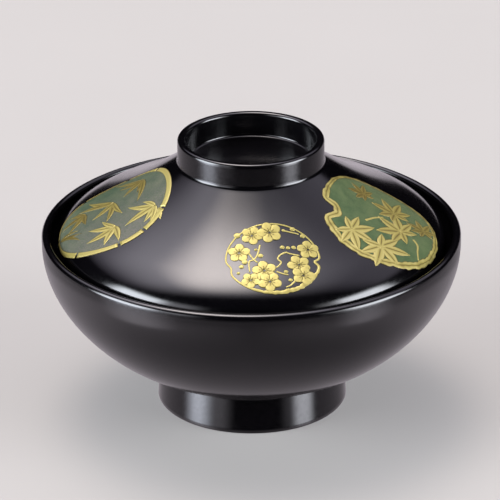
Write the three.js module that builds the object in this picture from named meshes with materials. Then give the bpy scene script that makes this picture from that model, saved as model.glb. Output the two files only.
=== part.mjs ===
import * as THREE from 'three';

// A lidded soup bowl in black lacquer: a turned bowl on a foot ring, a lid that sits inside the
// bowl's mouth and carries a ring-shaped knob, and three roundels of coloured and gold lacquer
// laid on the lid. Millimetres, +Z up; the origin is the centre of the foot ring's underside,
// and -Y is the side with the plum roundel.

// Bowl
const bowlRadius = 65;
const bowlHeight = 56.8;
const bowlWall = 4.6;
const lipThickness = 2.7;
const mouthBand = 3.8;
const mouthTaperDepth = 7;
const sideFullness = 17.8;
const undersideFullness = 18.5;
const undersideRise = THREE.MathUtils.degToRad(15.9);
const bowlFloorRise = 1.2;
const bowlFloorThickness = 4.6;

// Foot ring
const footRadius = 29.7;
const footFlare = 0.7;
const footHeight = 12.6;
const footWall = 4.2;
const footEdge = 0.6;
const footRecessFillet = 1.5;

// Lid, placed by the depth of its rim inside the bowl's mouth
const seatDepth = 7.6;
const seatClearance = 0.3;
const lidHeight = 37.7;
const lidWall = 3;
const lidRimHeight = 4.2;
const shoulderInset = 11.2;
const shoulderRise = 10.1;
const shoulderTopFullness = 5;
const shoulderRimFullness = 5;
const coneTopSlope = THREE.MathUtils.degToRad(35.5);
const coneFootSlope = THREE.MathUtils.degToRad(25.5);
const coneTopFullness = 11.2;
const coneFootFullness = 11.2;
const crownDomeRise = 0.5;

// Knob ring on the lid
const knobRadius = 22.6;
const knobHeight = 7.6;
const knobWall = 3.5;
const knobEdge = 0.9;
const knobFloorRise = 0.3;
const knobFloorFillet = 0.9;

// Lacquer films of the roundels
const filmThickness = 0.25;
const filmClearance = 0.3;
const ringGap = 0.2;
const bamboo = { radius: 20.3, rimInset: 0.9, azimuth: -78.5, ringWidth: 1.9 };
const maple = { radius: 20.2, rimInset: 1.9, azimuth: 66, ringWidth: 1.7 };
const plum = { radius: 14.2, rimInset: 6.9, azimuth: 8.4, ringWidth: 0.8 };
const barkNotch = { depth: 4, angle: 130, spread: 10 };

// Steps of the turned and laid surfaces
const turnSteps = 56;
const longCurveSteps = 9;
const shortCurveSteps = 3;
const filmTurnSteps = 36;
const groundRings = 6;
const ringRings = 1;

// Colours and finishes
const blackLacquer = { color: 0x0b0a0d, roughness: 0.1, metalness: 0 };
const goldLacquer = { color: 0xc8a640, roughness: 0.38, metalness: 0.7 };
const greenLacquer = { color: 0x3d6b4a, roughness: 0.35, metalness: 0 };
const greyGreenLacquer = { color: 0x6d8078, roughness: 0.35, metalness: 0 };

const point = (r, z) => new THREE.Vector2(r, z);
const upSlope = (angle) => point(Math.cos(angle), Math.sin(angle));
const downSlope = (angle) => point(Math.cos(angle), -Math.sin(angle));
const cubic = (a, b, c, d) => new THREE.CubicBezierCurve(a, b, c, d);
const quadratic = (a, b, c) => new THREE.QuadraticBezierCurve(a, b, c);

// A quarter turn from one point to another, its corner lying where the two edges would meet.
function roundedEdge(from, corner, to) {
  return quadratic(from, corner, to).getPoints(shortCurveSteps);
}

// A half turn round the end of a wall, from one face of it to the other.
function roundedEnd(centre, radius, startAngle) {
  const endAngle = startAngle + Math.PI;
  const arc = new THREE.EllipseCurve(centre.x, centre.y, radius, radius, startAngle, endAngle);
  return arc.getPoints(2 * shortCurveSteps);
}

// Points along a curve, moved off it to the left of its direction of travel.
function offsetCurve(curve, distance, steps) {
  const points = [];
  for (let i = 0; i <= steps; i += 1) {
    const t = i / steps;
    const tangent = curve.getTangent(t);
    const left = point(-tangent.y, tangent.x);
    points.push(curve.getPoint(t).addScaledVector(left, distance));
  }
  return points;
}

// The radius of a rising row of profile points at a height, and its lean outwards there.
function wallAtHeight(points, height) {
  const upper = points.findIndex((p, i) => i > 0 && p.y >= height);
  const last = upper < 0 ? points.length - 1 : upper;
  const [a, b] = [points[last - 1], points[last]];
  return {
    radius: THREE.MathUtils.mapLinear(height, a.y, b.y, a.x, b.x),
    lean: Math.atan2(b.x - a.x, b.y - a.y),
  };
}

// Profile points without the repeats where two stretches meet.
function joined(...stretches) {
  const points = stretches.flat();
  const apart = 1e-4;
  return points.filter((p, i) => i === 0 || p.distanceTo(points[i - 1]) > apart);
}

function turned(profile) {
  const geometry = new THREE.LatheGeometry(profile, turnSteps);
  geometry.rotateX(Math.PI / 2);
  return geometry;
}

function lacquered(name, geometry, finish) {
  const mesh = new THREE.Mesh(geometry, new THREE.MeshStandardMaterial(finish));
  mesh.name = name;
  return mesh;
}

// The bowl's side: one curve from the foot ring's top to the upright band under the lip.
const footNeckRadius = footRadius - footFlare;
const sideFoot = point(footNeckRadius, footHeight);
const sideTop = point(bowlRadius, bowlHeight - mouthBand);
const bowlSide = cubic(
  sideFoot,
  sideFoot.clone().addScaledVector(upSlope(undersideRise), undersideFullness),
  point(bowlRadius, sideTop.y - sideFullness),
  sideTop);

// The inside follows the side at the wall's thickness and opens towards the thinner lip.
const lipRadius = lipThickness / 2;
const lipCentre = point(bowlRadius - lipRadius, bowlHeight - lipRadius);
const mouthTaperFoot = bowlHeight - mouthTaperDepth;
const wallLine = offsetCurve(bowlSide, bowlWall, longCurveSteps);
const innerSide = [
  ...wallLine.filter((p) => p.y < mouthTaperFoot),
  point(wallAtHeight(wallLine, mouthTaperFoot).radius, mouthTaperFoot),
  point(bowlRadius - lipThickness, lipCentre.y),
];

function bowlProfile() {
  const floorHeight = footHeight + bowlFloorRise;
  const recessTop = floorHeight - bowlFloorThickness;
  const recessRadius = footRadius - footWall;
  const wallFoot = innerSide[0];
  const floorCorner = point(
    wallFoot.x - (wallFoot.y - floorHeight) / Math.tan(undersideRise), floorHeight);
  const recess = [
    point(0, recessTop),
    ...roundedEdge(
      point(recessRadius - footRecessFillet, recessTop),
      point(recessRadius, recessTop),
      point(recessRadius, recessTop - footRecessFillet)),
  ];
  const footUnderside = [
    ...roundedEdge(
      point(recessRadius, footEdge), point(recessRadius, 0), point(recessRadius + footEdge, 0)),
    ...roundedEdge(
      point(footRadius - footEdge, 0), point(footRadius, 0), point(footRadius, footEdge)),
  ];
  const outside = bowlSide.getPoints(longCurveSteps);
  const lip = roundedEnd(lipCentre, lipRadius, 0);
  const floor = quadratic(wallFoot, floorCorner, point(0, floorHeight)).getPoints(shortCurveSteps);
  return joined(recess, footUnderside, outside, lip, [...innerSide].reverse(), floor);
}

// The lid's top: a hollow cone from the knob down to a round shoulder that turns upright at the rim.
// Its round-edged rim comes to rest against the leaning wall of the mouth, a clearance away from it.
const seatHeight = bowlHeight - seatDepth;
const rimRound = lidWall / 2;
const seat = wallAtHeight(innerSide, seatHeight + rimRound);
const lidRadius = seat.radius + rimRound - (rimRound + seatClearance) / Math.cos(seat.lean);
const lidTop = seatHeight + lidHeight;
const coneTop = point(knobRadius, lidTop - knobHeight);
const rimTop = point(lidRadius, seatHeight + lidRimHeight);
const shoulder = point(lidRadius - shoulderInset, rimTop.y + shoulderRise);
const lidCone = cubic(
  coneTop,
  coneTop.clone().addScaledVector(downSlope(coneTopSlope), coneTopFullness),
  shoulder.clone().addScaledVector(downSlope(coneFootSlope), -coneFootFullness),
  shoulder);
const lidShoulder = cubic(
  shoulder,
  shoulder.clone().addScaledVector(downSlope(coneFootSlope), shoulderTopFullness),
  point(rimTop.x, rimTop.y + shoulderRimFullness),
  rimTop);

function knobProfile() {
  const innerRadius = knobRadius - knobWall;
  const floorHeight = coneTop.y + knobFloorRise;
  const beadHeight = lidTop - knobEdge;
  const top = [
    ...roundedEdge(
      point(knobRadius, beadHeight), point(knobRadius, lidTop), point(knobRadius - knobEdge, lidTop)),
    ...roundedEdge(
      point(innerRadius + knobEdge, lidTop), point(innerRadius, lidTop), point(innerRadius, beadHeight)),
  ];
  const floor = [
    ...roundedEdge(
      point(innerRadius, floorHeight + knobFloorFillet),
      point(innerRadius, floorHeight),
      point(innerRadius - knobFloorFillet, floorHeight)),
    point(0, floorHeight),
  ];
  return [coneTop, ...top, ...floor];
}

function lidProfile() {
  const coneUnder = offsetCurve(lidCone, -lidWall, longCurveSteps);
  const shoulderUnder = offsetCurve(lidShoulder, -lidWall, shortCurveSteps);
  const crownEdge = coneUnder[0];
  const crownHeight = crownEdge.y + crownDomeRise;
  const crownCorner = point(crownEdge.x - crownDomeRise / Math.tan(coneTopSlope), crownHeight);
  const crown = quadratic(point(0, crownHeight), crownCorner, crownEdge).getPoints(shortCurveSteps);
  const rimCentre = point(lidRadius - rimRound, seatHeight + rimRound);
  const rim = roundedEnd(rimCentre, rimRound, Math.PI);
  const shoulderTop = lidShoulder.getPoints(2 * shortCurveSteps).reverse();
  const coneTopSide = lidCone.getPoints(longCurveSteps).reverse();
  return joined(crown, coneUnder, shoulderUnder, rim, shoulderTop, coneTopSide, knobProfile());
}

// Arc length down the lid's top, and the place and outward direction found there.
const lidSurface = new THREE.CurvePath();
lidSurface.add(lidCone);
lidSurface.add(lidShoulder);
const lidSurfaceLength = lidSurface.getLength();

function onLid(distance, azimuth, height) {
  const t = THREE.MathUtils.clamp(distance / lidSurfaceLength, 0, 1);
  const place = lidSurface.getPoint(t);
  const tangent = lidSurface.getTangent(t);
  const r = place.x - tangent.y * height;
  const z = place.y + tangent.x * height;
  return new THREE.Vector3(r * Math.sin(azimuth), -r * Math.cos(azimuth), z);
}

// Lays a flat film on the lid: the cone is unrolled about the roundel's centre, so that a circle
// on the flat stays a circle along the surface.
function laidOnLid(geometry, roundel) {
  const centre = lidSurfaceLength - roundel.rimInset - roundel.radius;
  const t = centre / lidSurfaceLength;
  const slopeCosine = lidSurface.getTangent(t).x;
  const apexDistance = lidSurface.getPoint(t).x / slopeCosine;
  const azimuth = THREE.MathUtils.degToRad(roundel.azimuth);
  const position = geometry.getAttribute('position');
  for (let i = 0; i < position.count; i += 1) {
    const across = position.getX(i);
    const fromApex = apexDistance - position.getY(i);
    const distance = Math.hypot(across, fromApex) - apexDistance + centre;
    const turn = Math.atan2(across, fromApex) / slopeCosine;
    const laid = onLid(distance, azimuth + turn, filmClearance + position.getZ(i));
    position.setXYZ(i, laid.x, laid.y, laid.z);
  }
  return geometry;
}

// A flat film between two radii, its edge drawn in where the outline has a notch.
function film(innerRadius, outerRadius, rings, notch) {
  const radii = Array.from({ length: rings + 1 },
    (_, i) => THREE.MathUtils.lerp(innerRadius, outerRadius, i / rings));
  const underside = radii.map((r) => point(r, 0));
  const upside = radii.map((r) => point(r, filmThickness)).reverse();
  const closing = innerRadius > 0 ? [underside[0].clone()] : [];
  const geometry = new THREE.LatheGeometry([...underside, ...upside, ...closing], filmTurnSteps);
  geometry.rotateX(Math.PI / 2);
  return notch ? notched(geometry, outerRadius, notch) : geometry;
}

function notched(geometry, outerRadius, notch) {
  const position = geometry.getAttribute('position');
  const middle = THREE.MathUtils.degToRad(notch.angle);
  const spread = THREE.MathUtils.degToRad(notch.spread);
  for (let i = 0; i < position.count; i += 1) {
    const angle = Math.atan2(position.getY(i), position.getX(i));
    const bump = Math.exp(-(((angle - middle) / spread) ** 2));
    const scale = 1 - (notch.depth / outerRadius) * bump;
    position.setX(i, position.getX(i) * scale);
    position.setY(i, position.getY(i) * scale);
  }
  return geometry;
}

function roundelRing(roundel, notch) {
  const inner = roundel.radius - roundel.ringWidth;
  return laidOnLid(film(inner, roundel.radius, ringRings, notch), roundel);
}

function roundelGround(roundel, notch) {
  const outer = roundel.radius - roundel.ringWidth - ringGap;
  return laidOnLid(film(0, outer, groundRings, notch), roundel);
}

const soupBowl = new THREE.Group();
soupBowl.add(
  lacquered('bowl', turned(bowlProfile()), blackLacquer),
  lacquered('lid', turned(lidProfile()), blackLacquer),
  lacquered('bamboo_ground', roundelGround(bamboo), greyGreenLacquer),
  lacquered('bamboo_ring', roundelRing(bamboo), goldLacquer),
  lacquered('maple_ground', roundelGround(maple, barkNotch), greenLacquer),
  lacquered('maple_ring', roundelRing(maple, barkNotch), goldLacquer),
  lacquered('plum_ring', roundelRing(plum), goldLacquer));

export default soupBowl;
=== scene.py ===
"""Looks of a lidded lacquer soup bowl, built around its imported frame.

Metres, +Z up: the foot stands on z = 0, -Y faces the camera and +X is to the right.
Sizes of the turned shapes and of the decoration are written in millimetres, angles in degrees.
"""

import math

import bpy
from mathutils import Matrix, Vector


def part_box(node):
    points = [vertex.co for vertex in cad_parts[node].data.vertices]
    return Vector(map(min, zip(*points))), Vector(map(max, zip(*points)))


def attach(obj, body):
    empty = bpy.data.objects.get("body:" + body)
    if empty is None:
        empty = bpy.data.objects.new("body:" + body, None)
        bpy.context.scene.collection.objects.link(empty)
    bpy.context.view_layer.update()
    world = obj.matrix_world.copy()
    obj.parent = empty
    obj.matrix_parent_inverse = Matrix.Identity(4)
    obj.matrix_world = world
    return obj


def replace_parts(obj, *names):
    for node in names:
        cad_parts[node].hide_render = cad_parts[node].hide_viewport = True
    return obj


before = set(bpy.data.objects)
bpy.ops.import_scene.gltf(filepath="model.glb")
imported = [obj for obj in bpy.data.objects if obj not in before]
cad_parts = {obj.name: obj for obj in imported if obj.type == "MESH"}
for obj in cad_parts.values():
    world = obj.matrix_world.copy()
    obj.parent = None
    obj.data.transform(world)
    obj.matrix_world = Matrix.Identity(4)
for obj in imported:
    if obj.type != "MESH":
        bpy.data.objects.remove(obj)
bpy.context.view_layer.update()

MM = 0.001
TURN_STEPS = 192
CURVE_STEPS = 40
EDGE_STEPS = 10

# Outer sizes, read from the frame
BOWL_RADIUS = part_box("bowl")[1].x / MM
BOWL_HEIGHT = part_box("bowl")[1].z / MM
LID_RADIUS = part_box("lid")[1].x / MM
LID_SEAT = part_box("lid")[0].z / MM
LID_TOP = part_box("lid")[1].z / MM

# Bowl
BOWL_WALL = 4.6
LIP_THICKNESS = 2.7
LIP_LEAN_DEPTH = 1.25
LIP_CREST = 0.75
MOUTH_BAND = 3.8
MOUTH_TAPER = 7
MOUTH_WALL_SLOPE = 80
SIDE_FULLNESS = 17.8
UNDERSIDE_FULLNESS = 18.5
UNDERSIDE_RISE = 15.9
FLOOR_RISE = 1.2
FLOOR_THICKNESS = 4.6
FLOOR_FULLNESS = 6

# Foot ring
FOOT_RADIUS = 29.7
FOOT_FLARE = 0.7
FOOT_HEIGHT = 12.6
FOOT_WALL = 4.2
FOOT_EDGE = 0.6
FOOT_RECESS_FILLET = 1.5
FOOT_NECK_FILLET = 0.5
# Just under the fillet, so that the end of the foot's wall below it stays
FOOT_NECK_JOIN = 0.495

# Lid
LID_WALL = 3
RIM_HEIGHT = 4.2
SHOULDER_INSET = 11.2
SHOULDER_RISE = 10.1
SHOULDER_TOP_FULLNESS = 5
SHOULDER_RIM_FULLNESS = 5
CONE_TOP_SLOPE = 35.5
CONE_FOOT_SLOPE = 25.5
CONE_TOP_FULLNESS = 11.2
CONE_FOOT_FULLNESS = 11.2
CROWN_DOME_RISE = 0.5
CROWN_FULLNESS = 2

# Knob ring
KNOB_RADIUS = 22.6
KNOB_HEIGHT = 7.6
KNOB_WALL = 2.5
KNOB_EDGE = 0.9
KNOB_FLOOR_RISE = 0.2
KNOB_FLOOR_DISH = 0.8
KNOB_DRAFT = 0.8
KNOB_FLOOR_FILLET = 0.9
KNOB_NECK_FILLET = 0.35
KNOB_WALL_STEP = 0.5


# Plane curves of (radius, height) points


def stepped(point, slope, length):
    """The point a length away from another, along a slope in degrees."""
    angle = math.radians(slope)
    return (point[0] + length * math.cos(angle), point[1] + length * math.sin(angle))


def bezier(a, b, c, d, steps=CURVE_STEPS):
    """Points along a cubic curve with two ends and two handles."""
    points = []
    for i in range(steps + 1):
        t = i / steps
        weights = ((1 - t) ** 3, 3 * t * (1 - t) ** 2, 3 * t * t * (1 - t), t ** 3)
        points.append(tuple(sum(w * p[k] for w, p in zip(weights, (a, b, c, d))) for k in (0, 1)))
    return points


def rounded(start, corner, end):
    """A quarter turn from start to end round the corner where their edges would meet."""
    points = []
    for i in range(EDGE_STEPS + 1):
        angle = math.pi / 2 * i / EDGE_STEPS
        away, ahead = 1 - math.sin(angle), 1 - math.cos(angle)
        points.append(tuple(
            corner[k] + (start[k] - corner[k]) * away + (end[k] - corner[k]) * ahead for k in (0, 1)))
    return points


def half_round(centre, radius, start):
    """A half turn round the end of a wall, from an angle in degrees."""
    steps = 2 * EDGE_STEPS
    angles = [math.radians(start + 180 * i / steps) for i in range(steps + 1)]
    return [(centre[0] + radius * math.cos(a), centre[1] + radius * math.sin(a)) for a in angles]


def offset(points, distance):
    """The points moved to the left of their direction of travel."""
    moved = []
    for i, (r, z) in enumerate(points):
        before, after = points[max(i - 1, 0)], points[min(i + 1, len(points) - 1)]
        dr, dz = after[0] - before[0], after[1] - before[1]
        length = math.hypot(dr, dz)
        moved.append((r - dz / length * distance, z + dr / length * distance))
    return moved


def softened(lower, upper, fillet):
    """Two rows of points that meet at a corner, joined by a fillet in its place."""
    corner = lower[-1]
    before = [p for p in lower if math.dist(p, corner) > fillet]
    after = [p for p in upper if math.dist(p, corner) > fillet]
    return before + rounded(before[-1], corner, after[0])[1:-1] + after


def refined(points, longest=1.0):
    """The same line with long stretches cut into short steps, so that its edges shade crisply."""
    line = [points[0]]
    for start, end in zip(points, points[1:]):
        steps = math.ceil(math.dist(start, end) / longest)
        for i in range(1, steps + 1):
            line.append(tuple(start[k] + (end[k] - start[k]) * i / steps for k in (0, 1)))
    return line


# The bowl and the lid, turned


def bowl_side():
    """The outside of the bowl, from its foot to the upright band at its mouth."""
    foot = (FOOT_RADIUS - FOOT_FLARE, FOOT_HEIGHT)
    top = (BOWL_RADIUS, BOWL_HEIGHT - MOUTH_BAND)
    return bezier(
        foot,
        stepped(foot, UNDERSIDE_RISE, UNDERSIDE_FULLNESS),
        (BOWL_RADIUS, top[1] - SIDE_FULLNESS),
        top)


def foot_underside():
    """From the axis below the bowl's floor, down the recess to the face the foot stands on."""
    recess_top = FOOT_HEIGHT + FLOOR_RISE - FLOOR_THICKNESS
    recess = FOOT_RADIUS - FOOT_WALL
    return (
        [(0, recess_top)]
        + rounded(
            (recess - FOOT_RECESS_FILLET, recess_top),
            (recess, recess_top),
            (recess, recess_top - FOOT_RECESS_FILLET))
        + rounded((recess, FOOT_EDGE), (recess, 0), (recess + FOOT_EDGE, 0)))


def foot_and_side(side):
    """Up the outside of the foot and on along the bowl's side."""
    foot_wall = (
        rounded((FOOT_RADIUS - FOOT_EDGE, 0), (FOOT_RADIUS, 0), (FOOT_RADIUS, FOOT_EDGE))
        + [(FOOT_RADIUS - FOOT_FLARE, FOOT_HEIGHT - FOOT_NECK_FILLET), side[0]])
    return softened(foot_wall, side, FOOT_NECK_JOIN)


def bowl_lip():
    """Over the lip, from the bowl's outside into its mouth."""
    lip_radius = LIP_THICKNESS / 2
    crest = (BOWL_RADIUS - lip_radius, BOWL_HEIGHT)
    mouth = (crest[0] - lip_radius, BOWL_HEIGHT - lip_radius)
    outer = bezier(
        (BOWL_RADIUS, BOWL_HEIGHT - LIP_LEAN_DEPTH),
        (BOWL_RADIUS, BOWL_HEIGHT - LIP_LEAN_DEPTH / 2),
        (crest[0] + LIP_CREST, BOWL_HEIGHT),
        crest)
    return outer + rounded(crest, (mouth[0], BOWL_HEIGHT), mouth)[1:]


def bowl_inside(side, mouth):
    """Down from the mouth along the inner wall to the middle of the floor."""
    wall = [p for p in offset(side, BOWL_WALL) if p[1] < BOWL_HEIGHT - MOUTH_TAPER]
    taper = bezier(
        wall[-1],
        stepped(wall[-1], MOUTH_WALL_SLOPE, MOUTH_TAPER / 3),
        (mouth[0], mouth[1] - MOUTH_TAPER / 3),
        mouth,
        EDGE_STEPS)
    floor = FOOT_HEIGHT + FLOOR_RISE
    floor_edge = wall[0][0] - (wall[0][1] - floor) / math.tan(math.radians(UNDERSIDE_RISE))
    inside_floor = bezier(
        wall[0],
        stepped(wall[0], UNDERSIDE_RISE, -FLOOR_FULLNESS),
        (floor_edge, floor),
        (0, floor),
        EDGE_STEPS)
    return taper[::-1][1:] + wall[::-1][1:] + inside_floor[1:]


def bowl_profile():
    """From the axis under the bowl up its outside, over the lip and down to the inner floor."""
    side = bowl_side()
    lip = bowl_lip()
    return foot_underside() + foot_and_side(side) + lip[1:] + bowl_inside(side, lip[-1])


def lid_cone_and_shoulder():
    """The lid's upper face, from the knob down to the upright rim."""
    cone_top = (KNOB_RADIUS, LID_TOP - KNOB_HEIGHT)
    rim_top = (LID_RADIUS, LID_SEAT + RIM_HEIGHT)
    shoulder = (LID_RADIUS - SHOULDER_INSET, rim_top[1] + SHOULDER_RISE)
    cone = bezier(
        cone_top,
        stepped(cone_top, -CONE_TOP_SLOPE, CONE_TOP_FULLNESS),
        stepped(shoulder, -CONE_FOOT_SLOPE, -CONE_FOOT_FULLNESS),
        shoulder)
    turn = bezier(
        shoulder,
        stepped(shoulder, -CONE_FOOT_SLOPE, SHOULDER_TOP_FULLNESS),
        (LID_RADIUS, rim_top[1] + SHOULDER_RIM_FULLNESS),
        rim_top)
    return cone + turn[1:]


def knob_profile():
    """Up the knob's outside, over its ring and down to the dished floor of its recess."""
    base = (KNOB_RADIUS, LID_TOP - KNOB_HEIGHT)
    outer = KNOB_RADIUS
    inner = outer - KNOB_WALL
    floor = base[1] + KNOB_FLOOR_RISE
    bead = LID_TOP - KNOB_EDGE
    corner = inner - KNOB_DRAFT
    floor_edge = (corner - KNOB_FLOOR_FILLET, floor)
    floor_middle = floor - KNOB_FLOOR_DISH
    return (
        refined([base, (outer, bead)], KNOB_WALL_STEP)
        + rounded((outer, bead), (outer, LID_TOP), (outer - KNOB_EDGE, LID_TOP))[1:]
        + rounded((inner + KNOB_EDGE, LID_TOP), (inner, LID_TOP), (inner, bead))
        + rounded((corner, floor + KNOB_FLOOR_FILLET), (corner, floor), floor_edge)
        + bezier(
            floor_edge,
            (floor_edge[0] * 2 / 3, floor - KNOB_FLOOR_DISH * 2 / 3),
            (floor_edge[0] / 3, floor_middle),
            (0, floor_middle),
            EDGE_STEPS)[1:])


def lid_profile():
    """From the axis under the lid along its underside, round its rim and up to the knob's recess."""
    top = lid_cone_and_shoulder()
    rim_round = LID_WALL / 2
    rim_centre = (LID_RADIUS - rim_round, LID_SEAT + rim_round)
    under = offset(top, -LID_WALL)
    crown_edge = under[0]
    crown = bezier(
        (0, crown_edge[1] + CROWN_DOME_RISE),
        (crown_edge[0] / 2, crown_edge[1] + CROWN_DOME_RISE),
        stepped(crown_edge, -CONE_TOP_SLOPE, -CROWN_FULLNESS),
        crown_edge,
        EDGE_STEPS)
    upper = softened(top[::-1], knob_profile(), KNOB_NECK_FILLET)
    return crown + under[1:] + half_round(rim_centre, rim_round, 180) + upper


def new_object(name, vertices, faces):
    mesh = bpy.data.meshes.new(name)
    mesh.from_pydata(vertices, [], faces)
    mesh.shade_smooth()
    obj = bpy.data.objects.new(name, mesh)
    bpy.context.scene.collection.objects.link(obj)
    return obj


def turned(name, profile):
    """A solid of revolution whose profile starts and ends on the axis."""
    vertices, rings, faces = [], [], []
    for r, z in refined(profile):
        steps = TURN_STEPS if r > 0 else 1
        rings.append([len(vertices) + i for i in range(steps)])
        for i in range(steps):
            angle = 2 * math.pi * i / TURN_STEPS
            vertices.append((r * MM * math.cos(angle), r * MM * math.sin(angle), z * MM))
    for lower, upper in zip(rings, rings[1:]):
        for i in range(TURN_STEPS):
            j = (i + 1) % TURN_STEPS
            corners = [ring[k % len(ring)] for ring, k in ((lower, i), (lower, j), (upper, j), (upper, i))]
            faces.append(list(dict.fromkeys(corners)))
    return new_object(name, vertices, faces)


# Procedural materials

# The middle span of a noise, where most of its values lie
NOISE_LOW = 0.3
NOISE_HIGH = 0.7


def new_material(name):
    material = bpy.data.materials.new(name)
    material.use_nodes = True
    return material, material.node_tree, material.node_tree.nodes["Principled BSDF"]


def add_noise(tree, scale, detail=2.0, roughness=0.5):
    """Noise in the piece's own frame: scale is in waves per metre."""
    place = tree.nodes.new("ShaderNodeTexCoord")
    noise = tree.nodes.new("ShaderNodeTexNoise")
    noise.inputs["Scale"].default_value = scale
    noise.inputs["Detail"].default_value = detail
    noise.inputs["Roughness"].default_value = roughness
    tree.links.new(place.outputs["Object"], noise.inputs["Vector"])
    return noise.outputs["Fac"]


def add_spread(tree, low, high, scale, detail=2.0, roughness=0.5):
    """Noise that runs from a low to a high value."""
    span = tree.nodes.new("ShaderNodeMapRange")
    span.inputs["From Min"].default_value = NOISE_LOW
    span.inputs["From Max"].default_value = NOISE_HIGH
    span.inputs["To Min"].default_value = low
    span.inputs["To Max"].default_value = high
    tree.links.new(add_noise(tree, scale, detail, roughness), span.inputs["Value"])
    return span.outputs["Result"]


def add_tone(tree):
    """The tone that a relief's points carry."""
    tone = tree.nodes.new("ShaderNodeAttribute")
    tone.attribute_name = "tone"
    return tone.outputs["Fac"]


def add_math(tree, operation, first, second=None):
    node = tree.nodes.new("ShaderNodeMath")
    node.operation = operation
    for socket, value in zip(node.inputs, (first, second)):
        if isinstance(value, (int, float)):
            socket.default_value = value
        elif value is not None:
            tree.links.new(value, socket)
    return node.outputs["Value"]


def add_mix(tree, share, first, second):
    """A colour between two, each a fixed colour or another node's output."""
    mix = tree.nodes.new("ShaderNodeMix")
    mix.data_type = "RGBA"
    tree.links.new(share, mix.inputs["Factor"])
    for socket, colour in (("A", first), ("B", second)):
        target = next(s for s in mix.inputs if s.name == socket and s.type == "RGBA")
        if isinstance(colour, tuple):
            target.default_value = (*colour, 1)
        else:
            tree.links.new(colour, target)
    return next(s for s in mix.outputs if s.type == "RGBA")


def add_ramp(tree, value, stops):
    """Colours at places from 0 to 1, blended between."""
    ramp = tree.nodes.new("ShaderNodeValToRGB")
    elements = ramp.color_ramp.elements
    while len(elements) < len(stops):
        elements.new(0.5)
    for element, (place, colour) in zip(elements, stops):
        element.position = place
        element.color = (*colour, 1)
    tree.links.new(value, ramp.inputs["Fac"])
    return ramp.outputs["Color"]


def add_bump(tree, shader, depth, scale, detail=2.0):
    """Noise relief of a depth in millimetres on a shader's normal."""
    bump = tree.nodes.new("ShaderNodeBump")
    bump.inputs["Distance"].default_value = depth * MM
    tree.links.new(add_noise(tree, scale, detail), bump.inputs["Height"])
    tree.links.new(bump.outputs["Normal"], shader.inputs["Normal"])


def add_shader_mix(tree, share, first, second):
    mix = tree.nodes.new("ShaderNodeMixShader")
    tree.links.new(share, mix.inputs["Fac"])
    tree.links.new(first.outputs[0], mix.inputs[1])
    tree.links.new(second.outputs[0], mix.inputs[2])
    return mix


def black_lacquer():
    """Polished black lacquer, faintly clouded and not quite even."""
    deep, pale = (0.0008, 0.0007, 0.0010), (0.0016, 0.0014, 0.0019)
    material, tree, shader = new_material("black_lacquer")
    clouds = add_spread(tree, 0, 1, scale=60, detail=3)
    tree.links.new(add_mix(tree, clouds, deep, pale), shader.inputs["Base Color"])
    polish = add_spread(tree, 0.11, 0.16, scale=900)
    tree.links.new(polish, shader.inputs["Roughness"])
    shader.inputs["IOR"].default_value = 1.55
    add_bump(tree, shader, depth=0.002, scale=350, detail=1)
    return material


def gold_lacquer():
    """Gold powder in lacquer: the pieces' tone runs from dark outlines to pale gold, and on rings and leaves
    it also carries painted light, brighter toward the near side.
    """
    tones = (
        (0.0, (0.018, 0.013, 0.006)),
        (0.35, (0.130, 0.102, 0.022)),
        (0.7, (0.375, 0.326, 0.092)),
        (1.0, (0.520, 0.455, 0.168)))
    powder_colour = (0.31, 0.23, 0.055)
    material, tree, shader = new_material("gold_lacquer")
    plain = add_ramp(tree, add_tone(tree), tones)
    powder = add_spread(tree, 0, 0.3, scale=5000)
    tree.links.new(add_mix(tree, powder, plain, powder_colour), shader.inputs["Base Color"])
    polish = add_spread(tree, 0.36, 0.48, scale=2500)
    tree.links.new(polish, shader.inputs["Roughness"])
    shader.inputs["Metallic"].default_value = 0.5
    add_bump(tree, shader, depth=0.01, scale=4000)
    return material


def ground_lacquer(name, deep, plain, painted_sheen):
    """Coloured lacquer that is sprinkled unevenly, with a fine grain and, toward one side, a painted sheen:
    a pale reflection of the light painted into its colour.
    """
    material, tree, shader = new_material(name)
    clouds = add_spread(tree, 0, 1, scale=260, detail=3, roughness=0.6)
    speckle = add_spread(tree, 0.1, 0.9, scale=2200, detail=3, roughness=0.6)
    base = add_mix(tree, clouds, deep, plain)
    # Where the painted sheen shows: the piece's tone, broken up by speckle
    painted_sheen_share = add_math(tree, "MULTIPLY", speckle, add_tone(tree))
    tree.links.new(add_mix(tree, painted_sheen_share, base, painted_sheen), shader.inputs["Base Color"])
    polish = add_spread(tree, 0.34, 0.46, scale=1500)
    tree.links.new(polish, shader.inputs["Roughness"])
    shader.inputs["Specular IOR Level"].default_value = 0.15
    add_bump(tree, shader, depth=0.008, scale=2600)
    return material


# Relief laid on the lid

# Heights over the lid's face: the hidden underside, then the tops of the grounds, rings and motifs
SUNK = -0.03
GROUND_TOP = 0.06
RING_TOP = 0.10
MOTIF_TOP = 0.09


def arc_lengths(points):
    """The distance along a line at each of its points."""
    lengths = [0.0]
    for before, after in zip(points, points[1:]):
        lengths.append(lengths[-1] + math.dist(before, after))
    return lengths


LID_FACE = lid_cone_and_shoulder()
LID_ARC = arc_lengths(LID_FACE)


def lid_face_at(distance):
    """Place and direction of travel at a distance down the lid's face from the knob."""
    last = len(LID_ARC) - 2
    i = next((k for k in range(last) if LID_ARC[k + 1] >= distance), last)
    span = LID_ARC[i + 1] - LID_ARC[i]
    share = (distance - LID_ARC[i]) / span
    (r0, z0), (r1, z1) = LID_FACE[i], LID_FACE[i + 1]
    place = (r0 + (r1 - r0) * share, z0 + (z1 - z0) * share)
    return place, ((r1 - r0) / span, (z1 - z0) / span)


def turn_between(angle, place):
    """The turn from a place to an angle, from -180 to 180 degrees."""
    return (angle - place + 180) % 360 - 180


def falling(away, spread, power=2):
    """A bell: 1 at no distance, and close to 0 well beyond the spread."""
    return math.exp(-(away / spread) ** power)


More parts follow.
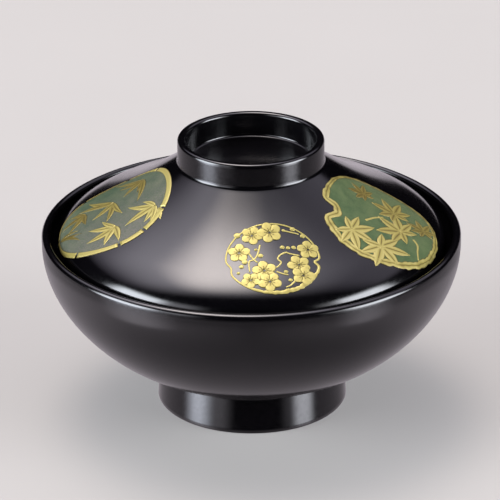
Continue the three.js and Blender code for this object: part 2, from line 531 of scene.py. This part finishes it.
class Roundel:
    """A circle on the lid, unrolled flat.

    x runs to the right round the lid and y, drawn out by reach, up to the knob.
    """

    def __init__(self, radius, rim_inset, azimuth, ring_width, notch=None, reach=1):
        self.radius = radius
        self.reach = reach
        self.ring_width = ring_width
        self.azimuth = math.radians(azimuth)
        self.notch = notch
        self.centre = LID_ARC[-1] - rim_inset - radius
        place, travel = lid_face_at(self.centre)
        self.cosine = travel[0]
        self.apex = place[0] / travel[0]

    def outline(self, angle):
        """Outer radius at an angle in degrees, drawn in at the notch."""
        if self.notch is None:
            return self.radius
        away = turn_between(angle, self.notch["angle"])
        return self.radius - self.notch["depth"] * falling(away, self.notch["spread"], power=6)

    def on_lid(self, x, y, height):
        """The place in metres of a point of the flat drawing, at a height over the lid's face."""
        from_apex = self.apex - self.reach * y
        distance = math.hypot(x, from_apex) - self.apex + self.centre
        azimuth = self.azimuth + math.atan2(x, from_apex) / self.cosine
        (r, z), (dr, dz) = lid_face_at(distance)
        r -= dz * height
        z += dr * height
        return (r * MM * math.sin(azimuth), -r * MM * math.cos(azimuth), z * MM)


BAMBOO = Roundel(radius=20.3, rim_inset=1.7, azimuth=-78.5, ring_width=1.9, reach=1.04)
MAPLE = Roundel(
    radius=20.2, rim_inset=1.9, azimuth=66, ring_width=1.7,
    notch={"angle": 125.5, "depth": 4, "spread": 9.5})
PLUM = Roundel(radius=14.2, rim_inset=6.9, azimuth=8.4, ring_width=0.8)


class Relief:
    """Closed thin solids on a roundel, made of rows of (x, y, height, tone) points."""

    def __init__(self):
        self.points = []
        self.faces = []

    def add(self, rows, closed=False):
        """One solid whose top is the rows; closed joins the last row to the first."""
        count, width = len(rows), len(rows[0])
        top = len(self.points)
        bottom = top + count * width
        for row in rows:
            self.points.extend(row)
        for row in rows:
            self.points.extend((x, y, SUNK, tone) for x, y, _, tone in row)
        for i in range(count if closed else count - 1):
            a, b = i * width, (i + 1) % count * width
            for k in range(width - 1):
                self.faces.append((top + a + k, top + b + k, top + b + k + 1, top + a + k + 1))
                self.faces.append((bottom + a + k, bottom + a + k + 1, bottom + b + k + 1, bottom + b + k))
            end = width - 1
            self.faces.append((top + a, bottom + a, bottom + b, top + b))
            self.faces.append((top + a + end, top + b + end, bottom + b + end, bottom + a + end))
        if not closed:
            a = (count - 1) * width
            for k in range(width - 1):
                self.faces.append((top + k, top + k + 1, bottom + k + 1, bottom + k))
                self.faces.append((top + a + k, bottom + a + k, bottom + a + k + 1, top + a + k + 1))

    def lay(self, name, roundel, material, slot):
        """The piece that these solids make on the lid."""
        obj = new_object(name, [roundel.on_lid(x, y, h) for x, y, h, _ in self.points], self.faces)
        tone = obj.data.attributes.new("tone", "FLOAT", "POINT")
        tone.data.foreach_set("value", [p[3] for p in self.points])
        obj.data.materials.append(material)
        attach(obj, "lid")
        return obj


# Places across a ribbon, and how much of its tone shows there
ACROSS = (-1, -0.76, -0.45, -0.16, 0, 0.16, 0.45, 0.76, 1)
OUTLINED = (0.05, 1, 0.92, 0.86, 0.86, 0.86, 0.92, 1, 0.05)
VEINED = (0.05, 1, 0.92, 0.7, 0.25, 0.7, 0.92, 1, 0.05)
GROOVE_SHARE = 0.6


def ribbon(line, half_widths, base, crown, tone, veined=False, closed=False):
    """Rows across a line, domed by crown above base, with dark outlines and a dark groove if veined.

    The tone is one number, or one for each point of the line.
    """
    rows = []
    count = len(line)
    tones = tone if isinstance(tone, list) else [tone] * count
    shades = VEINED if veined else OUTLINED
    for i, (x, y) in enumerate(line):
        before = line[(i - 1) % count] if closed else line[max(i - 1, 0)]
        after = line[(i + 1) % count] if closed else line[min(i + 1, count - 1)]
        dx, dy = after[0] - before[0], after[1] - before[1]
        length = math.hypot(dx, dy)
        row = []
        for s, shade in zip(ACROSS, shades):
            reach = s * half_widths[i]
            groove = crown * GROOVE_SHARE if veined and s == 0 else 0
            height = base + crown * (1 - s * s) - groove
            row.append((x + dy / length * reach, y - dx / length * reach, height, tones[i] * shade))
        rows.append(row)
    return rows


def polar(radius, angle):
    return (radius * math.cos(math.radians(angle)), radius * math.sin(math.radians(angle)))


def curve_through(points):
    """A smooth line through the points (Catmull-Rom)."""
    steps = 6
    line = []
    padded = [points[0]] + points + [points[-1]]
    for a, b, c, d in zip(padded, padded[1:], padded[2:], padded[3:]):
        for i in range(steps):
            t = i / steps
            line.append(tuple(
                0.5 * (2 * b[k] + (c[k] - a[k]) * t + (2 * a[k] - 5 * b[k] + 4 * c[k] - d[k]) * t * t
                       + (3 * b[k] - a[k] - 3 * c[k] + d[k]) * t ** 3) for k in (0, 1)))
    return line + [points[-1]]


def bent_line(start, end, bend, steps):
    """A line from start to end that bows sideways by a share of its length."""
    (x0, y0), (x1, y1) = start, end
    line = []
    for i in range(steps + 1):
        t = i / steps
        bow = bend * 4 * t * (1 - t)
        line.append((x0 + (x1 - x0) * t - (y1 - y0) * bow, y0 + (y1 - y0) * t + (x1 - x0) * bow))
    return line


# Leaves, beads and twigs: steps along them, how close they come to their tips, and how far they dome
LEAF_STEPS = 12
LEAF_ENDS = (0.02, 0.985)
LEAF_CROWN = 0.06
BEAD_STEPS = 8
BEAD_ENDS = (0.04, 0.96)
BEAD_CROWN = 0.14
TWIG_CROWN = 0.05
TWIG_TONE = 0.85


def shares_between(ends, steps):
    """Even steps from 0 to 1, kept between two ends so that no tip is without width."""
    return [min(max(i / steps, ends[0]), ends[1]) for i in range(steps + 1)]


def add_leaf(relief, start, end, width, tone, bend, lift, widest=0.33):
    """A pointed leaf from start to end, widest at a share of its length."""
    power = widest / (1 - widest)
    peak = widest ** power * (1 - widest)
    shares = shares_between(LEAF_ENDS, LEAF_STEPS)
    half_widths = [width / 2 * t ** power * (1 - t) / peak for t in shares]
    line = bent_line(start, end, bend, LEAF_STEPS)
    relief.add(ribbon(line, half_widths, MOTIF_TOP + lift, LEAF_CROWN, tone, veined=True))


def add_bead(relief, x, y, radius, tone):
    shares = [-math.cos(math.pi * t) for t in shares_between(BEAD_ENDS, BEAD_STEPS)]
    line = [(x + radius * s, y) for s in shares]
    half_widths = [radius * math.sqrt(1 - s * s) for s in shares]
    relief.add(ribbon(line, half_widths, MOTIF_TOP, BEAD_CROWN, tone))


def twigs(lines, start_width, end_width):
    """Twigs along rows of points, each with a width that changes from end to end."""
    relief = Relief()
    for points in lines:
        line = curve_through(list(points))
        last = len(line) - 1
        half_widths = [(start_width + (end_width - start_width) * i / last) / 2 for i in range(last + 1)]
        relief.add(ribbon(line, half_widths, MOTIF_TOP, TWIG_CROWN, TWIG_TONE))
    return relief


# Grounds and rings of the roundels

# How a ring turns from its near to its far side, in its width and its painted light
NEAR_SHARPNESS = 6
NEAR_BIAS = 0.3
# Waves round a rough ring: their number and size
ROUGH_WAVES = ((17, 0.45), (31, 0.35), (53, 0.3))
# Angles of the bamboo cane's joints
BAMBOO_JOINTS = (-203, -160, -105, -51, -7, 18, 45, 118, 157)


def ground(roundel):
    """A disc inside the roundel's outline that ends under the middle of its ring; its tone is the share of
    painted sheen, which grows toward the right.
    """
    rings, spokes = 20, 120
    hub = 0.01
    rows = []
    for i in range(spokes):
        angle = 360 * i / spokes
        edge = roundel.outline(angle) - roundel.ring_width / 2
        radii = [edge * (hub + (1 - hub) * k / rings) for k in range(rings + 1)]
        row = [polar(r, angle) for r in radii[::-1]]
        rows.append([(x, y, GROUND_TOP, 0.5 + 0.5 * x / roundel.radius) for x, y in row])
    relief = Relief()
    relief.add(rows, closed=True)
    return relief


def near_share(angle, nearest):
    """How far a place on a ring is on its nearest side: close to 1 there and close to 0 opposite."""
    return 1 / (1 + math.exp(-NEAR_SHARPNESS * (math.cos(math.radians(angle - nearest)) + NEAR_BIAS)))


def roughness(angle, seed):
    """An uneven wave round a ring, between about -1 and 1."""
    return sum(size * math.sin(math.radians(angle * n + seed * n)) for n, size in ROUGH_WAVES)


def bamboo_ring():
    """A cane bent round the roundel, cut at its joints, swollen beside them and thin on the far side;
    painted light makes it bright on its near side and dim on its far side.
    """
    nearest, crown = 25, 0.07
    longest_step, fewest_steps = 2.5, 8
    joint_gap, swelling, swelling_reach = 0.45, 0.2, 0.7
    far_width, near_width_gain = 0.42, 0.56
    far_shaded_tone, near_highlight_gain, cane_shade = 0.5, 0.42, 0.05
    joint_shade, joint_shade_reach = 0.4, 0.5
    outer = BAMBOO.radius
    gap = math.degrees(joint_gap / outer)
    relief = Relief()
    for k, (start, end) in enumerate(zip(BAMBOO_JOINTS, BAMBOO_JOINTS[1:])):
        steps = max(fewest_steps, round((end - start) / longest_step))
        line, half_widths, tones = [], [], []
        for i in range(steps + 1):
            angle = start + gap + (end - start - 2 * gap) * i / steps
            to_joint = math.radians(min(angle - start, end - angle)) * outer
            near = near_share(angle, nearest)
            half_width = BAMBOO.ring_width / 2 * (far_width + near_width_gain * near)
            line.append(polar(outer - half_width, angle))
            half_widths.append(half_width * (1 + swelling * falling(to_joint, swelling_reach)))
            shade = cane_shade * (k % 3) + joint_shade * falling(to_joint, joint_shade_reach)
            # Painted light makes the near side brighter; the joints and segments darken by the cane's own
            # tone
            tones.append(far_shaded_tone + near_highlight_gain * near - shade)
        relief.add(ribbon(line, half_widths, RING_TOP, crown, tones))
    return relief


def maple_ring():
    """A strip of rough bark that follows the roundel's outline, thin on its far side; painted light makes it
    bright on its near side and dim on its far side.
    """
    steps, nearest, crown = 260, 200, 0.05
    far_width, near_width_gain, rough_width = 0.46, 1.04, 0.22
    far_shaded_tone, near_highlight_gain, rough_tone = 0.54, 0.32, 0.2
    rough_edge = 0.2
    line, half_widths, tones = [], [], []
    for i in range(steps):
        angle = 360 * i / steps
        near = near_share(angle, nearest)
        half_width = MAPLE.ring_width / 2 * (far_width + near_width_gain * near)
        middle = MAPLE.outline(angle) - half_width + rough_edge * near * roughness(angle, seed=11)
        line.append(polar(middle, angle))
        half_widths.append(half_width * (1 + rough_width * roughness(angle, seed=47)))
        # Painted light makes the near side brighter; the rough waves vary the bark's own tone
        tones.append(far_shaded_tone + near_highlight_gain * near + rough_tone * roughness(angle, seed=83))
    relief = Relief()
    relief.add(ribbon(line, half_widths, RING_TOP, crown, tones, veined=True, closed=True), closed=True)
    return relief


def plum_ring():
    """A twig bent into a ring: thin above, thick and rough below on the right, with two kinks."""
    steps, crown = 220, 0.06
    half_across, half_up = 14.1, 12.8
    kinks = ({"place": -9, "depth": 1.6, "spread": 5}, {"place": 190, "depth": 1.0, "spread": 8})
    thickest, thick_spread = -68, 48
    thin_half_width, thick_gain, rough_width = 0.27, 0.5, 0.3
    plain_tone, rough_tone, rough_edge = 0.78, 0.2, 0.2
    line, half_widths, tones = [], [], []
    for i in range(steps):
        angle = 360 * i / steps
        inward = sum(k["depth"] * falling(turn_between(angle, k["place"]), k["spread"]) for k in kinks)
        thick = falling(turn_between(angle, thickest), thick_spread)
        reach = rough_edge * roughness(angle, seed=29) * thick - inward
        x, y = polar(1, angle)
        line.append((x * (half_across + reach), y * (half_up + reach)))
        rough = 1 + rough_width * roughness(angle, seed=61)
        half_widths.append(thin_half_width + thick_gain * thick * rough)
        tones.append(plain_tone + rough_tone * roughness(angle, seed=7) * thick)
    relief = Relief()
    relief.add(ribbon(line, half_widths, RING_TOP, crown, tones, closed=True), closed=True)
    return relief


# Leaves and twigs inside the bamboo and maple rings

# Bamboo sprigs: tone, which is painted light (bright on the near sprigs, dim on the far ones), where the
# leaves spring from, and each leaf's tip and width
BAMBOO_SPRIGS = (
    (0.92, (10.8, 12.0),
     ((3.5, 4.5, 1.7), (12.0, 1.5, 2.2), (15.3, 7.0, 1.8), (16.6, 8.6, 1.5), (5.5, 9.2, 1.2))),
    (0.92, (13.0, 13.0),
     ((18.0, 11.8, 1.5),)),
    (0.86, (9.6, -1.2),
     ((4.4, -9.0, 1.9), (10.4, -11.0, 2.2), (16.0, -6.4, 1.9), (17.4, -2.0, 1.6), (3.0, -4.2, 1.3))),
    (0.64, (-5.0, 1.0),
     ((-14.6, -6.0, 1.9), (-11.4, -10.2, 2.0), (-1.2, -6.6, 1.8), (4.6, -3.2, 1.7), (4.6, 2.4, 1.4))),
    (0.5, (-7.8, -8.2),
     ((-11.5, -13.0, 1.5), (-7.8, -17.0, 1.7), (-1.8, -15.2, 1.7), (-1.0, -9.0, 1.4))),
    (0.52, (-8.6, 12.0),
     ((-18.0, 3.4, 1.5), (-12.4, 4.2, 1.6), (-5.0, 4.6, 1.9), (-2.5, 8.8, 1.5), (3.0, 7.8, 1.6))),
    (0.42, (-3.2, -18.4),
     ((6.2, -12.4, 1.0), (3.0, -11.0, 1.0), (0.4, -11.4, 0.9))),
)
# How far the leaves bow, in turn
BAMBOO_BENDS = (0.06, -0.05, 0.03)

# Maple leaves: centre, direction and length of the middle lobe, and tone, which is painted light: bright on
# the near leaves, dim on the far ones
MAPLE_LEAVES = (
    (-12.4, 5.0, -85, 8.4, 0.92),
    (-11.2, -5.2, -112, 9.4, 0.92),
    (1.2, -7.0, 88, 8.8, 0.8),
    (8.4, -1.4, 57, 7.8, 0.68),
    (7.3, 9.7, 75, 5.6, 0.5),
    (9.2, -11.8, 50, 5.8, 0.55),
)

# Lobes of a leaf: turn from the middle lobe, and share of its length
MAPLE_LOBES = ((0, 1.0), (50, 1.04), (-50, 1.04), (92, 0.84), (-92, 0.84), (135, 0.62), (-135, 0.62))
MAPLE_TWIGS = (
    ((1.4, -11.2), (0.2, -13.4), (-2.6, -14.8), (-5.4, -16.6)),
    ((-4.5, 3.6), (-0.6, 2.2), (2.6, 0.4)),
)


def bamboo_leaves():
    """Sprigs of narrow leaves; every other leaf is darker, and later ones lie on top."""
    fullness, odd_shade, lift_step = 1.4, 0.08, 0.01
    relief = Relief()
    # A sprig's tone is painted light, bright on the near sprigs
    for k, (tone, base, leaves) in enumerate(BAMBOO_SPRIGS):
        for i, (x, y, width) in enumerate(leaves):
            bend = BAMBOO_BENDS[(i + k) % len(BAMBOO_BENDS)]
            shaded = tone - odd_shade * (i % 2)
            add_leaf(relief, base, (x, y), fullness * width, shaded, bend, lift_step * i)
    return relief


def maple_leaves():
    """Leaves of seven lobes; every other lobe is darker, and later ones lie on top."""
    odd_shade, lift_step, bend = 0.06, 0.008, 0.02
    lobe_width, lobe_widest, root_share = 0.4, 0.45, 0.08
    relief = Relief()
    # A leaf's tone is painted light, bright on the near leaves
    for x, y, direction, length, tone in MAPLE_LEAVES:
        for i, (turn, share) in enumerate(MAPLE_LOBES):
            dx, dy = polar(length * share, direction + turn)
            root, tip = (x - root_share * dx, y - root_share * dy), (x + dx, y + dy)
            width = lobe_width * length * math.sqrt(share)
            shaded = tone - odd_shade * (i % 2)
            add_leaf(relief, root, tip, width, shaded, bend * (-1) ** i, lift_step * i, lobe_widest)
    return relief


def maple_twigs():
    return twigs(MAPLE_TWIGS, start_width=0.9, end_width=0.5)


# Blossoms, buds and twigs inside the plum ring

# Plum blossoms: centre, size, turn of the first petal and how far they stand above the ones behind
PLUM_BLOSSOMS = (
    (-5.2, 9.1, 3.3, 60, 0.0),
    (0.2, 9.7, 3.7, 105, 0.04),
    (-9.8, 3.3, 3.4, 80, 0.0),
    (-3.2, -4.3, 3.7, 95, 0.0),
    (-7.7, -7.5, 2.9, 120, 0.03),
    (-2.2, -8.7, 3.6, 50, 0.06),
    (11.0, 2.9, 3.4, 92, 0.04),
    (7.4, -2.8, 3.6, 110, 0.0),
    (8.1, -7.0, 3.5, 70, 0.05),
)
PETALS = 5

# Plum buds: centre and radius
PLUM_BUDS = (
    (-9.5, 9.8, 1.0), (7.3, 10.6, 0.8), (10.0, 8.1, 0.75), (3.3, 4.0, 0.7), (4.95, 3.7, 0.65),
    (6.65, 3.8, 0.7), (-4.7, 3.8, 0.5), (-3.6, 1.4, 0.8), (-8.6, -0.4, 0.9), (-9.8, -2.0, 0.75),
    (-11.0, -4.3, 0.55), (3.1, -5.3, 0.65), (4.0, -8.6, 0.65), (4.4, 10.2, 0.5),
)
PLUM_BUD_TONE = 0.78
PLUM_TWIGS = (
    ((-3.2, 5.5), (-4.4, 2.0), (-5.8, 0.2), (-7.3, -0.6), (-7.6, -4.4)),
    ((-6.9, 2.6), (-5.8, 0.2), (-4.8, -1.0)),
    ((8.0, 0.7), (5.2, 1.5), (4.1, 2.0), (2.2, 1.1), (1.4, -0.3), (2.2, -1.6), (1.4, -2.8), (0.5, -3.5)),
    ((0.3, -5.0), (2.0, -6.0), (3.7, -6.6)),
    ((5.6, -8.7), (3.9, -10.4), (2.4, -11.1)),
    ((4.4, 10.1), (8.9, 8.8)),
)


def add_petal(relief, x, y, size, direction, lift):
    """A wedge that opens from the blossom's eye to a round end, darker at the eye."""
    steps, crown = 9, 0.05
    eye, end, round_centre, round_radius = 0.1, 0.99, 0.54, 0.46
    eye_tone, tone_gain, full_tone_share = 0.5, 0.28, 0.6
    line, half_widths, tones = [], [], []
    for i in range(steps + 1):
        share = eye + (end - eye) * math.sin(math.pi / 2 * i / steps)
        dx, dy = polar(size * share, direction)
        line.append((x + dx, y + dy))
        round_side = math.sqrt(max(round_radius ** 2 - (share - round_centre) ** 2, 0))
        wedge_side = share * math.tan(math.pi / PETALS)
        half_widths.append(size * (min(round_side, wedge_side) if share < round_centre else round_side))
        tones.append(eye_tone + tone_gain * min(share / full_tone_share, 1))
    relief.add(ribbon(line, half_widths, MOTIF_TOP + lift, crown, tones))


def add_stamen(relief, x, y, size, direction, lift):
    """A thin dark line along the middle of a petal."""
    shares, half_widths = (0.16, 0.3, 0.44), (0.12, 0.1, 0.14)
    rise, crown, tone = 0.045, 0.02, 0.15
    reaches = [polar(size * share, direction) for share in shares]
    line = [(x + dx, y + dy) for dx, dy in reaches]
    relief.add(ribbon(line, half_widths, MOTIF_TOP + lift + rise, crown, tone))


def plum_blossoms():
    relief = Relief()
    for x, y, size, turn, lift in PLUM_BLOSSOMS:
        for petal in range(PETALS):
            direction = turn + 360 / PETALS * petal
            add_petal(relief, x, y, size, direction, lift)
            add_stamen(relief, x, y, size, direction, lift)
    return relief


def plum_buds():
    relief = Relief()
    for x, y, radius in PLUM_BUDS:
        add_bead(relief, x, y, radius, PLUM_BUD_TONE)
    return relief


def plum_twigs():
    return twigs(PLUM_TWIGS, start_width=0.55, end_width=0.45)


# Assembly of the object


def lacquered(name, profile, material, body):
    """A turned piece of black lacquer that stands in for a body's own node."""
    obj = turned(name, profile)
    obj.data.materials.append(material)
    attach(obj, body)
    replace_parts(obj, body)


def build_object():
    lacquer, gold = black_lacquer(), gold_lacquer()
    # Each ground's last colour is a painted sheen, a pale reflection of the light painted into its colour
    grey_green = ground_lacquer(
        "grey_green_lacquer",
        deep=(0.027, 0.054, 0.029),
        plain=(0.062, 0.084, 0.045),
        painted_sheen=(0.150, 0.124, 0.119))
    green = ground_lacquer(
        "green_lacquer",
        deep=(0.029, 0.060, 0.024),
        plain=(0.067, 0.101, 0.041),
        painted_sheen=(0.098, 0.108, 0.056))
    lacquered("bowl_shell", bowl_profile(), lacquer, "bowl")
    lacquered("lid_shell", lid_profile(), lacquer, "lid")
    films = (
        ("bamboo_ground", ground(BAMBOO), BAMBOO, grey_green, "grey_green_lacquer"),
        ("bamboo_ring", bamboo_ring(), BAMBOO, gold, "gold_lacquer"),
        ("maple_ground", ground(MAPLE), MAPLE, green, "green_lacquer"),
        ("maple_ring", maple_ring(), MAPLE, gold, "gold_lacquer"),
        ("plum_ring", plum_ring(), PLUM, gold, "gold_lacquer"),
    )
    for node, relief, roundel, material, slot in films:
        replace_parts(relief.lay(node + "_relief", roundel, material, slot), node)
    motifs = (
        ("bamboo_leaves", bamboo_leaves(), BAMBOO),
        ("maple_leaves", maple_leaves(), MAPLE),
        ("maple_twigs", maple_twigs(), MAPLE),
        ("plum_blossoms", plum_blossoms(), PLUM),
        ("plum_buds", plum_buds(), PLUM),
        ("plum_twigs", plum_twigs(), PLUM),
    )
    for name, relief, roundel in motifs:
        relief.lay(name, roundel, gold, "gold_lacquer")


# Stage, light and camera

# Floor disc, in metres, with the share and colour of its own light and the colour beyond it
STAGE_RADIUS = 4.0
STAGE_GAP = 0.00003
STAGE_STEPS = 96
PAPER_GLOW = 0.48
PAPER_GLOW_COLOUR = (0.417, 0.417, 0.438)
BACKGROUND = (0.72, 0.70, 0.69)

# Soft light panels at a distance: the direction they are measured from and their light, then, across and
# up from that direction and as tangents, their centre, half size and the width of their fading edges
PANELS = {
    "overhead": {
        "azimuth": 0, "elevation": 90, "light": (8.7, 7.8, 7.2),
        "centre": (-0.14, 0.38), "half": (0.19, 0.32), "fade": (0.14, 0.22)},
    "overhead_glow": {
        "azimuth": 0, "elevation": 90, "light": (2.5, 2.4, 2.65),
        "centre": (-0.22, 0.45), "half": (0.45, 0.48), "fade": (0.35, 0.3)},
    "ceiling": {
        "azimuth": 0, "elevation": 90, "light": (0.75, 0.7, 0.85),
        "centre": (0.1, 0.7), "half": (1.2, 0.7), "fade": (0.3, 0.3)},
    "left": {
        "azimuth": -72, "elevation": 0, "light": (14.1, 14.9, 16.1),
        "centre": (0, 0.3), "half": (0.3, 0.38), "fade": (0.14, 0.17)},
    "left_foot": {
        "azimuth": -68, "elevation": 0, "light": (8.6, 9.0, 10.2),
        "centre": (-0.03, -0.2), "half": (0.25, 0.21), "fade": (0.22, 0.025)},
    "left_glow": {
        "azimuth": -45, "elevation": 0, "light": (2.2, 2.2, 2.4),
        "centre": (0, 0.28), "half": (0.22, 0.4), "fade": (0.18, 0.25)},
    "left_foot_glow": {
        "azimuth": -42, "elevation": 0, "light": (1.6, 1.53, 1.67),
        "centre": (0, -0.345), "half": (0.22, 0.045), "fade": (0.2, 0.03)},
    "left_band": {
        "azimuth": -66, "elevation": 0, "light": (1.4, 1.32, 1.45),
        "centre": (0, -0.58), "half": (0.28, 0.15), "fade": (0.25, 0.06)},
    "right_band": {
        "azimuth": 66, "elevation": 0, "light": (1.2, 1.13, 1.25),
        "centre": (0, -0.56), "half": (0.2, 0.12), "fade": (0.2, 0.06)},
    "right": {
        "azimuth": 71, "elevation": 0, "light": (13.0, 13.4, 14.3),
        "centre": (0, 0.3), "half": (0.3, 0.38), "fade": (0.14, 0.17)},
    "right_foot": {
        "azimuth": 65, "elevation": 0, "light": (7.3, 7.4, 8.0),
        "centre": (0, -0.2), "half": (0.22, 0.21), "fade": (0.14, 0.025)},
    "right_foot_glow": {
        "azimuth": 45, "elevation": 0, "light": (0.7, 0.67, 0.73),
        "centre": (0, -0.345), "half": (0.12, 0.045), "fade": (0.12, 0.03)},
    "right_glow": {
        "azimuth": 50, "elevation": 0, "light": (2.2, 2.2, 2.3),
        "centre": (0, 0.28), "half": (0.16, 0.3), "fade": (0.1, 0.2)},
}

# How far ahead a direction has to point to meet a panel
PANEL_NEAREST = 0.01

# What the lacquer mirrors below the horizon: a table whose far edge is low in front and higher behind.
# It is brighter on the left, low at the sides and, in a band below its far edge, behind.
TABLE_LIGHT = (0.348, 0.314, 0.343)
TABLE_FRONT_EDGE = -0.405
TABLE_BACK_EDGE = -0.08
TABLE_EDGE_TURN = (-0.2, 0.25)
TABLE_FADE = 0.03
TABLE_LEFT_GAIN = 0.2
TABLE_SIDE_GAIN = 1.6
TABLE_SIDE_START = (-0.405, -0.45)
TABLE_SIDE_END = (-0.95, -0.5)
TABLE_BACK_GAIN = 1.1
TABLE_BACK_START = (0.5, 0.85)
TABLE_BACK_BAND = (-0.42, -0.24)


def floor_paper():
    """Pale paper that the camera sees partly lit from itself; the lacquer mirrors the table in its place."""
    light, lighter = (0.530, 0.502, 0.463), (0.546, 0.517, 0.478)
    material, tree, shader = new_material("floor_paper")
    clouds = add_spread(tree, 0, 1, scale=9, detail=3)
    tree.links.new(add_mix(tree, clouds, light, lighter), shader.inputs["Base Color"])
    shader.inputs["Roughness"].default_value = 0.9
    shader.inputs["Specular IOR Level"].default_value = 0.1
    add_bump(tree, shader, depth=0.01, scale=3000)
    glow = tree.nodes.new("ShaderNodeEmission")
    glow.inputs["Color"].default_value = (*PAPER_GLOW_COLOUR, 1)
    clear = tree.nodes.new("ShaderNodeBsdfTransparent")
    path = tree.nodes.new("ShaderNodeLightPath")
    share = add_math(tree, "MULTIPLY", path.outputs["Is Camera Ray"], PAPER_GLOW)
    paper = add_shader_mix(tree, share, shader, glow)
    mixed = add_shader_mix(tree, path.outputs["Is Glossy Ray"], paper, clear)
    tree.links.new(mixed.outputs["Shader"], tree.nodes["Material Output"].inputs["Surface"])
    return material


def stage_floor():
    corners = [polar(STAGE_RADIUS, 360 * i / STAGE_STEPS) for i in range(STAGE_STEPS)]
    obj = new_object("floor", [(x, y, -STAGE_GAP) for x, y in corners], [list(range(STAGE_STEPS))])
    obj.data.materials.append(floor_paper())


def add_dot_product(tree, direction, axis):
    node = tree.nodes.new("ShaderNodeVectorMath")
    node.operation = "DOT_PRODUCT"
    tree.links.new(direction, node.inputs[0])
    node.inputs[1].default_value = axis
    return node.outputs["Value"]


def add_step(tree, value, start, end):
    """A smooth rise from 0 at start to 1 at end."""
    step = tree.nodes.new("ShaderNodeMapRange")
    step.interpolation_type = "SMOOTHSTEP"
    step.inputs["From Min"].default_value = start
    step.inputs["From Max"].default_value = end
    tree.links.new(value, step.inputs["Value"])
    return step.outputs["Result"]


def add_light(tree, colour, share):
    """Light of one colour, as strong as a share says."""
    light = tree.nodes.new("ShaderNodeVectorMath")
    light.operation = "SCALE"
    light.inputs[0].default_value = colour
    tree.links.new(share, light.inputs["Scale"])
    return light.outputs["Vector"]


def add_panel(tree, direction, panel):
    """The light of one panel, seen in a direction."""
    azimuth, elevation = math.radians(panel["azimuth"]), math.radians(panel["elevation"])
    level = math.cos(elevation)
    ahead = Vector((level * math.sin(azimuth), -level * math.cos(azimuth), math.sin(elevation)))
    aside = Vector((math.cos(azimuth), math.sin(azimuth), 0))
    depth = add_dot_product(tree, direction, ahead)
    share = add_math(tree, "GREATER_THAN", depth, PANEL_NEAREST)
    axes = (aside, ahead.cross(aside))
    for axis, centre, half, fade in zip(axes, panel["centre"], panel["half"], panel["fade"]):
        place = add_math(tree, "DIVIDE", add_dot_product(tree, direction, axis), depth)
        away = add_math(tree, "ABSOLUTE", add_math(tree, "SUBTRACT", place, centre))
        edge = add_step(tree, away, half + fade, half - fade)
        share = add_math(tree, "MULTIPLY", share, edge)
    return add_light(tree, panel["light"], share)


def add_table(tree, direction):
    """The light of the table, seen in a direction."""
    parts = tree.nodes.new("ShaderNodeSeparateXYZ")
    tree.links.new(direction, parts.inputs["Vector"])
    right, back, up = (parts.outputs[axis] for axis in "XYZ")
    rise = add_math(
        tree, "MULTIPLY", add_step(tree, back, *TABLE_EDGE_TURN), TABLE_BACK_EDGE - TABLE_FRONT_EDGE)
    height = add_math(tree, "SUBTRACT", up, rise)
    below = add_step(tree, height, TABLE_FRONT_EDGE + TABLE_FADE, TABLE_FRONT_EDGE - TABLE_FADE)
    aside = add_math(tree, "ABSOLUTE", right)
    for band in (TABLE_SIDE_START, TABLE_SIDE_END):
        aside = add_math(tree, "MULTIPLY", aside, add_step(tree, up, *band))
    behind = add_math(
        tree, "MULTIPLY", add_step(tree, back, *TABLE_BACK_START), add_step(tree, up, *TABLE_BACK_BAND))
    gain = add_math(tree, "ADD", add_math(tree, "MULTIPLY", aside, TABLE_SIDE_GAIN), 1)
    gain = add_math(tree, "ADD", gain, add_math(tree, "MULTIPLY", behind, TABLE_BACK_GAIN))
    gain = add_math(tree, "SUBTRACT", gain, add_math(tree, "MULTIPLY", right, TABLE_LEFT_GAIN))
    return add_light(tree, TABLE_LIGHT, add_math(tree, "MULTIPLY", gain, below))


def studio_light():
    """Soft panels and a table for the lacquer to mirror; the camera itself sees a pale ground."""
    world = bpy.data.worlds.new("studio")
    bpy.context.scene.world = world
    world.use_nodes = True
    tree = world.node_tree
    tree.nodes.clear()
    direction = tree.nodes.new("ShaderNodeTexCoord").outputs["Generated"]
    total = add_table(tree, direction)
    for panel in PANELS.values():
        both = tree.nodes.new("ShaderNodeVectorMath")
        both.operation = "ADD"
        tree.links.new(total, both.inputs[0])
        tree.links.new(add_panel(tree, direction, panel), both.inputs[1])
        total = both.outputs["Vector"]
    lit = tree.nodes.new("ShaderNodeBackground")
    tree.links.new(total, lit.inputs["Color"])
    seen = tree.nodes.new("ShaderNodeBackground")
    seen.inputs["Color"].default_value = (*BACKGROUND, 1)
    path = tree.nodes.new("ShaderNodeLightPath")
    output = tree.nodes.new("ShaderNodeOutputWorld")
    mixed = add_shader_mix(tree, path.outputs["Is Camera Ray"], lit, seen)
    tree.links.new(mixed.outputs["Shader"], output.inputs["Surface"])


# Metres, with the roll in radians and the lens and sensor in millimetres
CAMERA_PLACE = Vector((0, -0.9562, 0.4791))
CAMERA_TARGET = Vector((-0.00045, 0, 0.04907))
CAMERA_ROLL = -0.0057
CAMERA_LENS = 242.6
CAMERA_SENSOR = 36


def camera():
    data = bpy.data.cameras.new("camera")
    data.sensor_width = CAMERA_SENSOR
    data.lens = CAMERA_LENS
    obj = bpy.data.objects.new("camera", data)
    aim = (CAMERA_TARGET - CAMERA_PLACE).to_track_quat("-Z", "Y").to_matrix().to_4x4()
    obj.matrix_world = Matrix.Translation(CAMERA_PLACE) @ aim @ Matrix.Rotation(CAMERA_ROLL, 4, "Z")
    bpy.context.scene.collection.objects.link(obj)
    bpy.context.scene.camera = obj


camera()
build_object()
stage_floor()
studio_light()
bpy.context.scene.view_settings.view_transform = "Standard"
